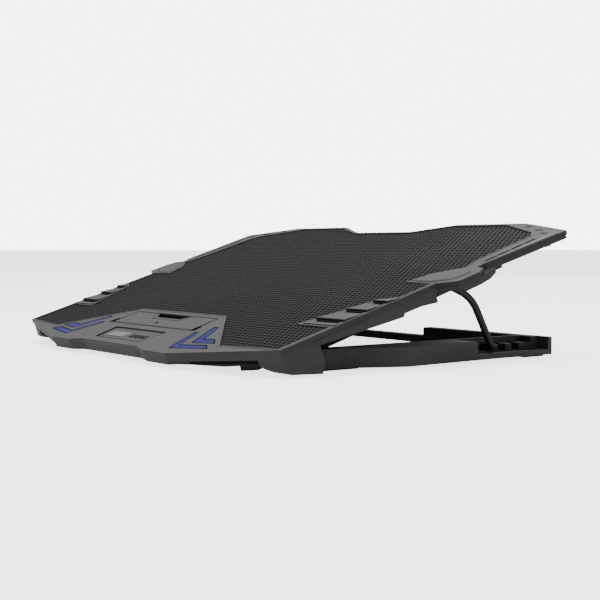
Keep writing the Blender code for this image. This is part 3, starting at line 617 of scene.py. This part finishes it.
def chevron(tip, end_a, end_b, width):
    """A V: its tip, the ends of its two arms and its inner corner. One arm narrows."""
    tip, end_a, end_b = (np.array(point, float) for point in (tip, end_a, end_b))
    to_a, to_b = ((end - tip) / np.linalg.norm(end - tip) for end in (end_a, end_b))
    side_a = width * np.array([to_a[1], -to_a[0]])
    side_b = width * np.array([-to_b[1], to_b[0]])
    inner = crossing(tip + side_a, to_a, tip + side_b, to_b)
    cut_a = end_a + side_a * ARM_NARROWS - to_a * width * CUT_A
    cut_b = end_b + side_b - to_b * width * CUT_B
    return np.array([tip, end_b, cut_b, inner, cut_a, end_a])


def rectangle(x0, x1, y0, y1):
    """Four corners, anticlockwise."""
    return np.array([(x0, y0), (x1, y0), (x1, y1), (x0, y1)], float)


RECESS = mirrored([(33, 6.9), (36, 26)])
DISPLAY = np.array([(-31, 12), (-4, 12), (0, 20.5), (-27, 20.5)], float)
STOP_HOLE = mirrored([(61.5, 33.75), (60, 40.6), (57.2, 40.9), (56.4, 56.5)])
bead("sheet_rim", WINDOW, RIM, EDGE)
# The recess, display and stop lines and the lens rings are painted shadow at their edges
# and gaps.
bead("recess_line", RECESS, FINE, SHADOW)
bead("display_line", DISPLAY, FINE, SHADOW, base=DISPLAY_W)
bead("stop_line", STOP_HOLE, CLEAR, SHADOW)
for side_name, side in SIDES.items():
    for number, shape in enumerate(CHEVRONS, start=1):
        ring_loop = to_side(chevron(*shape), side)
        bead(f"lens_ring_{side_name}_{number}", ring_loop, RING, SHADOW)
    for number, start in enumerate(RIM_SLOT_STARTS, start=1):
        slot_loop = to_side(rectangle(*RIM_SLOT_X, start, start + RIM_SLOT_LONG), side)
        bead(f"rim_slot_{side_name}_{number}", slot_loop, RING, GREY)
print("lines round the sheet, the recess, the display, the stop, the lenses and the slots")

# %% [markdown]
# ## Raised plates and louvres
#
# The wings at the deck's sides carry a slightly higher plate with sloping edges, and
# ahead of them the rims step up in louvres. A louvre is a ramp: high at its front, where
# its mouth faces the user, and level with the rim at its rear. The shade in each mouth
# is painted, as a black plate standing just ahead of it. Heights that fall along V need
# only one formula, which lifts the ramp's upper rings.

# %% Make the plates and louvres
# Outlines on the right side, in X and V.
WING = [(159.5, 145.3), (177.5, 145.3), (190.5, 151.5), (193.5, 158), (193.5, 166.5),
        (186.5, 173.8), (180.8, 172.8), (164.6, 160.4)]
REAR_BAND = [(186.6, 183), (189.3, 183), (193.9, 251.5), (191.2, 252.4), (187.6, 246)]
LOUVRES = [
    [(149.5, 61.2), (179.9, 61.2), (180.1, 66.4), (150.5, 66.4)],
    [(151.8, 69.6), (180.3, 69.6), (180.9, 84.4), (158.8, 84.4)],
    [(160.4, 87.6), (181.0, 87.6), (181.6, 101.0), (165.6, 101.0)],
    [(167.4, 104.2), (181.7, 104.2), (182.2, 114.6), (180.6, 114.2), (168.6, 107.4)],
]
LOUVRE_HEIGHTS = (0.9, 1.7, 1.7, 1.7)
LOW_PLATE = [(0, -0.2), (0.1, 0.25), (1.0, 0.85)]
THIN_PLATE = [(0, -0.1), (0.15, 0.25), (0.5, 0.4)]
RAMP = [(0, -0.2), (0.15, 0.0), (0.45, 0.0)]
RAMP_SHARES = [0.0, 0.8, 1.0]  # how much of a louvre's height each ring of its ramp has
LEAST_FALL = 0.1
MOUTH_LEFT, MOUTH_RIGHT = 1.2, 1.0  # how far a mouth's ends lie inside its louvre's ends
MOUTH_AHEAD, MOUTH_BEHIND = 0.06, 0.5  # how far it stands out, and reaches in
MOUTH_FOOT, MOUTH_SHARE = 0.1, 0.72  # its lowest height, and its highest as a share


def louvre(name, loop, height):
    """A ramp. Height = height * (rear - v) / (rear - front), and at least a tenth of it."""
    points = carried(loop, RAMP)
    front, rear = loop[:, 1].min(), loop[:, 1].max()
    fall = np.clip((rear - points[:, 1]) / (rear - front), LEAST_FALL, 1)
    points[:, 2] += np.repeat(RAMP_SHARES, len(loop)) * height * fall
    foot = np.arange(len(loop))[::-1]
    top = np.arange(len(loop)) + (len(RAMP) - 1) * len(loop)
    return add_piece(name, from_deck(points), grid_faces(len(RAMP), len(loop)), "deck",
                     GREY, caps=(top, foot))


def louvre_mouth_shadow(name, loop, height, side):
    """An upright plate of painted shadow just ahead of a louvre, a little narrower than its
    front.
    """
    x0, front = loop[0]
    x1 = loop[1][0]
    mouth = rectangle(x0 + MOUTH_LEFT, x1 - MOUTH_RIGHT, front - MOUTH_AHEAD,
                      front + MOUTH_BEHIND)
    raised(name, to_side(mouth, side), [(0, MOUTH_FOOT), (0, height * MOUTH_SHARE)],
           SHADOW)


for side_name, side in SIDES.items():
    raised(f"wing_plate_{side_name}", to_side(WING, side), LOW_PLATE, GREY)
    raised(f"rear_band_{side_name}", to_side(REAR_BAND, side), THIN_PLATE, EDGE)
    for number, (loop, height) in enumerate(zip(LOUVRES, LOUVRE_HEIGHTS), start=1):
        louvre(f"louvre_{side_name}_{number}", to_side(loop, side), height)
        louvre_mouth_shadow(f"louvre_mouth_shadow_{side_name}_{number}", loop, height, side)
print("wing plates, rear bands and", 2 * len(LOUVRES), "louvres")

# %% [markdown]
# ## The stop's scoop, the sockets and the screws
#
# A shallow groove runs round the finger slot of the stop, and its shade is painted as a
# thin black line. Inside each socket is a tongue with four contacts, and each screw head
# has a cross, its recess painted as a black raised cross. These are small, but an empty
# socket or a blank screw head looks unfinished as soon as the part is turned over.

# %% Make the small details
SCOOP = [(-26.5, 55.8), (-18.8, 46.6), (18.8, 46.6), (26.5, 55.8), (25.5, 55.8),
         (18.3, 47.3), (-18.3, 47.3), (-25.5, 55.8)]
SCOOP_LINE = [(0, -0.1), (0.08, 0.05)]
SOCKET_V = (88, 104)
TONGUE_X, TONGUE_HALF, TONGUE_W = (-177.2, -166.6), 4.9, -6.5
TONGUE = [(0.25, 0.0), (0, 0.25), (0, 1.35), (0.25, 1.6)]
CONTACT_X, CONTACT_HALF, CONTACT_W = (-176.6, -168), 0.5, -6.6
CONTACT_SHIFTS = (-3.5, -1.2, 1.2, 3.5)
CONTACT = [(0, 0), (0.05, 0.12)]
SCREWS = {"front": (166, 76.5), "rear": (187.5, 246)}  # X on the right side, and V
CROSS_REACH, CROSS_HALF = 1.5, 0.28
CROSS = [(0.03, -7.46), (0, -7.3)]
# The scoop's groove is drawn as a thin line of painted shadow.
raised("stop_scoop_line", np.array(SCOOP, float), SCOOP_LINE, SHADOW,
       body="stop")
for number, v in enumerate(SOCKET_V, start=1):
    tongue = rectangle(*TONGUE_X, v - TONGUE_HALF, v + TONGUE_HALF)
    raised(f"socket_tongue_{number}", tongue, TONGUE, FINISHES["black_plastic"],
           base=TONGUE_W)
    for contact, shift in enumerate(CONTACT_SHIFTS, start=1):
        strip = rectangle(*CONTACT_X, v + shift - CONTACT_HALF, v + shift + CONTACT_HALF)
        raised(f"socket_contact_{number}_{contact}", strip, CONTACT, FINISHES["steel"],
               base=CONTACT_W)


def cross(x, y, reach, half):
    """The twelve corners of a cross, anticlockwise from its front arm."""
    arm = np.array([(-half, -reach), (half, -reach), (half, -half)], float)
    quarter_turn = np.array([[0.0, 1.0], [-1.0, 0.0]])
    arms = [arm @ np.linalg.matrix_power(quarter_turn, turns) for turns in range(4)]
    return np.concatenate(arms) + [x, y]


# Each screw's cross is painted shadow: a black raised cross for the shade in its recess.
for side_name, side in SIDES.items():
    for row_name, (x, v) in SCREWS.items():
        raised(f"screw_cross_{row_name}_{side_name}",
               cross(side * x, v, CROSS_REACH, CROSS_HALF), CROSS, SHADOW)
print("a scoop line, two tongues, eight contacts and four crosses")

# %% [markdown]
# ## Painted shadow linings
#
# Two places lie in shade, and the shade is painted: the base's rear bar on its forward
# side, and the deck's front where it recedes below its band. A thin black plate of painted
# shadow stands just in front of each wall.
# Every plate is four corners and the same four pushed back along the plate's own
# direction, so one function makes them all.

# %% Make the painted shadow linings
LINING_THICK = 0.3
BAR_Y = 250.38  # just ahead of the rear bar, counted from the deck's front edge
BAR_HALF, DIP_HALF = 147.4, 48.2  # half the bar's length, and half the dip's in it
BAR_LOW, BAR_TOP, DIP_TOP = 2.0, 13.5, 6.9
BELLY_ENDS = ((98.6, 4.9, -10.0), (150.6, 23.7, -12.6))  # x, v and lowest w of each end
BELLY_GAP = 0.15
BAND_LOW = -6.5
BOX_FACES = np.array([(0, 1, 2, 3), (7, 6, 5, 4), (0, 4, 5, 1), (1, 5, 6, 2),
                      (2, 6, 7, 3), (3, 7, 4, 0)])


def lining(name, corners, body):
    """Four corners in metres, anticlockwise as seen from in front, and four behind them."""
    front = np.asarray(corners, float)
    across = np.cross(front[1] - front[0], front[3] - front[0])
    behind = front - across / np.linalg.norm(across) * LINING_THICK * MILLIMETRE
    add_piece(name, np.concatenate([front, behind]), BOX_FACES, body, SHADOW)


def bar_shadow_lining(name, x0, x1, top):
    """An upright plate of painted shadow ahead of the rear bar. The base is level, so
    nothing leans it.
    """
    corners = rectangle(x0, x1, BAR_LOW, top)
    corners = np.insert(corners, 1, BAR_Y - MIDDLE_Y, axis=1) * MILLIMETRE
    lining(name, corners, "base")


def belly_shadow_lining(name, side):
    """A plate of painted shadow ahead of the deck's receding front, its left end first on
    both sides.
    """
    (x0, v0, low0), (x1, v1, low1) = BELLY_ENDS[::side]
    x0, x1, v0, v1 = side * x0, side * x1, v0 - BELLY_GAP, v1 - BELLY_GAP
    lining(name, from_deck([(x0, v0, low0), (x1, v1, low1), (x1, v1, BAND_LOW),
                            (x0, v0, BAND_LOW)]), "deck")


for side_name, side in SIDES.items():
    bar_shadow_lining(f"bar_shadow_lining_{side_name}", *sorted((side * DIP_HALF, side * BAR_HALF)),
               BAR_TOP)
    belly_shadow_lining(f"belly_shadow_lining_{side_name}", side)
bar_shadow_lining("bar_shadow_lining_middle", -DIP_HALF, DIP_HALF, DIP_TOP)
# The linings are black plates of painted shadow.
print("linings on the rear bar and under the deck's front band")

# %% [markdown]
# ## The guards under the fans
#
# Each fan breathes in through a guard of rings on four spokes, inside a flat rim. A ring
# is a small circle carried round a large one. All rings of a guard are one array, since
# they differ only in radius, and a spoke is a box turned by a quarter turn each time.

# %% Make the guards
FANS = {  # each fan's X and V, and half its frame's width
    "centre": (0, 149.5, 57.5),
    "front_left": (-101, 98, 37.5),
    "front_right": (101, 98, 37.5),
    "rear_left": (-101, 201, 37.5),
    "rear_right": (101, 201, 37.5),
}
GUARD_W = -21.3
RIM_IN = 2.3  # a guard's rim lies this far inside its fan's frame
WIRE = 0.75  # the radius of a ring's wire
FIRST_RING, RING_STEP, LAST_GAP = 7.0, 5.2, 2.5  # radii of the rings, and room at the rim
RING_STEPS, WIRE_SIDES = 48, 6
SPOKES, SPOKE_START, SPOKE_IN = 4, 2.0, 0.8  # a spoke ends this far inside the rim
SPOKE_HALF_WIDE, SPOKE_HALF_HIGH = 1.1, 0.5
HUB_RADIUS, HUB_SIDES = 7.4, 24
HUB = [(0.5, -22.1), (0, -21.8), (0, -20.9), (0.4, -20.7)]


def ring_points(radii, wire, steps, sides):
    """Point (u, a) of a ring: ((R + r cos a) cos u, (R + r cos a) sin u, r sin a)."""
    u = np.linspace(0, 2 * math.pi, steps, endpoint=False)[None, :, None]
    a = np.linspace(0, 2 * math.pi, sides, endpoint=False)[None, None, :]
    out = np.asarray(radii, float)[:, None, None] + wire * np.cos(a)
    height = np.broadcast_to(wire * np.sin(a), (len(radii), steps, sides))
    return np.stack([out * np.cos(u), out * np.sin(u), height], -1).reshape(-1, 3)


def ring_faces(rings, steps, sides):
    """The faces of all rings: one ring's, with its points counted on for each further."""
    one = grid_faces(steps, sides, closed_rows=True)
    return (one[None] + steps * sides * np.arange(rings)[:, None, None]).reshape(-1, 4)


def spoke_points(inner, outer, half_wide, half_high, count):
    """Boxes from the hub to the rim, each turned by a share of a full turn."""
    box = np.array([(x, y, z) for x in (inner, outer) for y in (-half_wide, half_wide)
                    for z in (-half_high, half_high)])
    turn = 2 * math.pi * (np.arange(count) + 0.5)[:, None] / count
    x = box[None, :, 0] * np.cos(turn) - box[None, :, 1] * np.sin(turn)
    y = box[None, :, 0] * np.sin(turn) + box[None, :, 1] * np.cos(turn)
    return np.stack([x, y, np.broadcast_to(box[:, 2], x.shape)], -1).reshape(-1, 3)


def spoke_faces(count):
    """The six faces of each spoke's box."""
    box = np.array([(0, 1, 3, 2), (4, 6, 7, 5), (0, 4, 5, 1), (2, 3, 7, 6), (0, 2, 6, 4),
                    (1, 5, 7, 3)])
    return (box[None] + 8 * np.arange(count)[:, None, None]).reshape(-1, 4)


def make_guard(name, x, v, half):
    """Rings and spokes in one piece, in place of the frame's plain disc, and a hub."""
    rim = half - RIM_IN
    radii = np.append(np.arange(FIRST_RING, rim - LAST_GAP, RING_STEP), rim - WIRE)
    rings = ring_points(radii, WIRE, RING_STEPS, WIRE_SIDES)
    spokes = spoke_points(SPOKE_START, rim - SPOKE_IN, SPOKE_HALF_WIDE, SPOKE_HALF_HIGH,
                          SPOKES)
    points = np.concatenate([rings, spokes]) + [x, v, GUARD_W]
    faces = np.concatenate([ring_faces(len(radii), RING_STEPS, WIRE_SIDES),
                            spoke_faces(SPOKES) + len(rings)])
    guard = add_piece(f"guard_{name}", from_deck(points), faces, "deck", DARK,
                      smooth_angle=70)
    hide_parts(f"fan_guard_{name}")
    angles = np.linspace(0, 2 * math.pi, HUB_SIDES, endpoint=False)
    disc = HUB_RADIUS * np.stack([np.cos(angles), np.sin(angles)], 1) + [x, v]
    raised(f"guard_hub_{name}", disc, HUB, DARK)


for fan_name, (fan_x, fan_v, fan_half) in FANS.items():
    make_guard(fan_name, fan_x, fan_v, fan_half)
print("guards:", ", ".join(FANS))

# %% [markdown]
# ## The wire legs
#
# A leg is one bent rod: a pin that turns in its bracket, a bend, a short arm to the
# knee, and a long shank whose rounded end stands in a notch. Each bend is a quadratic
# curve between two straight runs, which is close to what a bending tool leaves. The
# frame's leg has few sides, so this one replaces it with twice as many.

# %% Make the legs
PIVOT_V, PIVOT_W = 168.5, -9.7  # where a leg's pin turns
LEG_X, PIN_X = 166.3, 150.5  # of a leg's shank, and of its pin's inner end
LEG_RADIUS, LEG_SIDES = 2.5, 20
BENDS = (4.5, 11.0)  # how far before and after its corner each bend reaches
KNEE, FOOT = (186.6, 43.3), (206.8, 7.0)  # from the deck's front edge, and height


def leaned(y, z):
    """A point's V and W from its distance behind the deck's front edge and its height."""
    up = z - FRONT_Z
    return (y * math.cos(TILT) + up * math.sin(TILT),
            up * math.cos(TILT) - y * math.sin(TILT))


def bent(corners, bends, steps=10):
    """A path through corners, each inner one eased by a curve from a to b.

    The curve is (1 - t)^2 a + 2 t (1 - t) corner + t^2 b, where a and b lie a bend's
    reach before and after the corner.
    """
    t = np.linspace(0, 1, steps + 1)[:, None]
    runs = [corners[:1]]
    for before, corner, after, bend in zip(corners, corners[1:], corners[2:], bends):
        to_a, to_b = before - corner, after - corner
        a = corner + to_a / np.linalg.norm(to_a) * min(bend, np.linalg.norm(to_a) / 2)
        b = corner + to_b / np.linalg.norm(to_b) * min(bend, np.linalg.norm(to_b) / 2)
        runs.append((1 - t) ** 2 * a + 2 * t * (1 - t) * corner + t**2 * b)
    return np.concatenate([*runs, corners[-1:]])


for side_name, side in SIDES.items():
    leg_corners = np.array([
        (side * PIN_X, PIVOT_V, PIVOT_W), (side * LEG_X, PIVOT_V, PIVOT_W),
        (side * LEG_X, *leaned(*KNEE)), (side * LEG_X, *leaned(*FOOT))])
    leg = tube(f"wire_leg_{side_name}", from_deck(bent(leg_corners, BENDS)),
               LEG_RADIUS * MILLIMETRE, LEG_SIDES, FINISHES["painted_wire"],
               f"leg_{side_name}")
    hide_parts(f"support_leg_{side_name}")
print("two legs, each with", len(leg.data.polygons), "faces")

# %% [markdown]
# ## Floor, light and camera
#
# A white floor that runs far behind the object, a pale sky, one large soft light above
# and two weaker ones, at the side and behind. The sky and the floor are brighter to the
# camera than to the object, as a lit backdrop in a studio is. Large lights give the
# broad, slow highlights that show a satin plastic's form without bright spots.

# %% Set the stage
FLOOR_HALF = 30  # metres
FLOOR_WHITES = (grey(0.86), grey(0.90))
FLOOR_GLOW, SKY_GLOW = (0.38, 2.4), (0.5, 6.0)  # to the object, and to the camera
LIGHTS = {  # each one's place, its size and its power
    "key": ((0.2, -0.3, 1.9), 1.6, 46),
    "side": ((1.9, 0.3, 0.9), 1.4, 3),
    "rear": ((-0.9, 1.7, 1.2), 1.4, 10),
}
AIM = (0, 0, 0.04)  # what every light points at


def seen_ranged(tree, to_object, to_camera):
    """One strength for rays that come from the camera, another for all other rays."""
    seen = add_node(tree, "ShaderNodeLightPath").outputs["Is Camera Ray"]
    return ranged(tree, seen, 0, 1, to_object, to_camera)


def plain_floor():
    """A white square under the part, which glows a little so that it stays even."""
    finish, tree, shader, place = new_finish("floor_paint")
    soft = noise(tree, place, 3.0, detail=3.0)
    tree.links.new(mixed(tree, soft, *FLOOR_WHITES), shader.inputs["Base Color"])
    tree.links.new(ranged(tree, soft, *MIDDLE, 0.75, 0.9), shader.inputs["Roughness"])
    shader.inputs["Emission Color"].default_value = (1, 1, 1, 1)
    tree.links.new(seen_ranged(tree, *FLOOR_GLOW), shader.inputs["Emission Strength"])
    corners = rectangle(-FLOOR_HALF, FLOOR_HALF, -FLOOR_HALF, FLOOR_HALF)
    mesh = bpy.data.meshes.new("floor")
    mesh.from_pydata([(*corner, 0) for corner in corners.tolist()], [], [(0, 1, 2, 3)])
    mesh.materials.append(finish)
    floor = bpy.data.objects.new("floor", mesh)
    bpy.context.scene.collection.objects.link(floor)


def area_light(name, place, size, power):
    """A round light at a place, turned so that its face looks at the part."""
    light = bpy.data.lights.new(name, "AREA")
    light.shape, light.size, light.energy = "DISK", size, power
    lamp = bpy.data.objects.new(name, light)
    bpy.context.scene.collection.objects.link(lamp)
    lamp.location = place
    toward = Vector(AIM) - Vector(place)
    lamp.rotation_euler = toward.to_track_quat("-Z", "Y").to_euler()


def pale_sky():
    """A plain white sky with the two strengths."""
    sky = bpy.data.worlds.new("sky")
    bpy.context.scene.world = sky
    sky.use_nodes = True
    background = sky.node_tree.nodes["Background"]
    background.inputs["Color"].default_value = (1, 1, 1, 1)
    sky.node_tree.links.new(seen_ranged(sky.node_tree, *SKY_GLOW),
                            background.inputs["Strength"])


plain_floor()
for light_name, light_values in LIGHTS.items():
    area_light(light_name, *light_values)
pale_sky()
camera = bpy.data.objects.new("camera", bpy.data.cameras.new("camera"))
bpy.context.scene.collection.objects.link(camera)
camera.location = (0.72365, -0.49332, 0.07666)
camera.rotation_euler = [math.radians(angle) for angle in (87.40, 0, 53.95)]
camera.data.lens, camera.data.sensor_width = 69.0, 36.0
camera.data.clip_start = 0.01
bpy.context.scene.camera = camera
print("camera at", [round(value, 3) for value in camera.location])
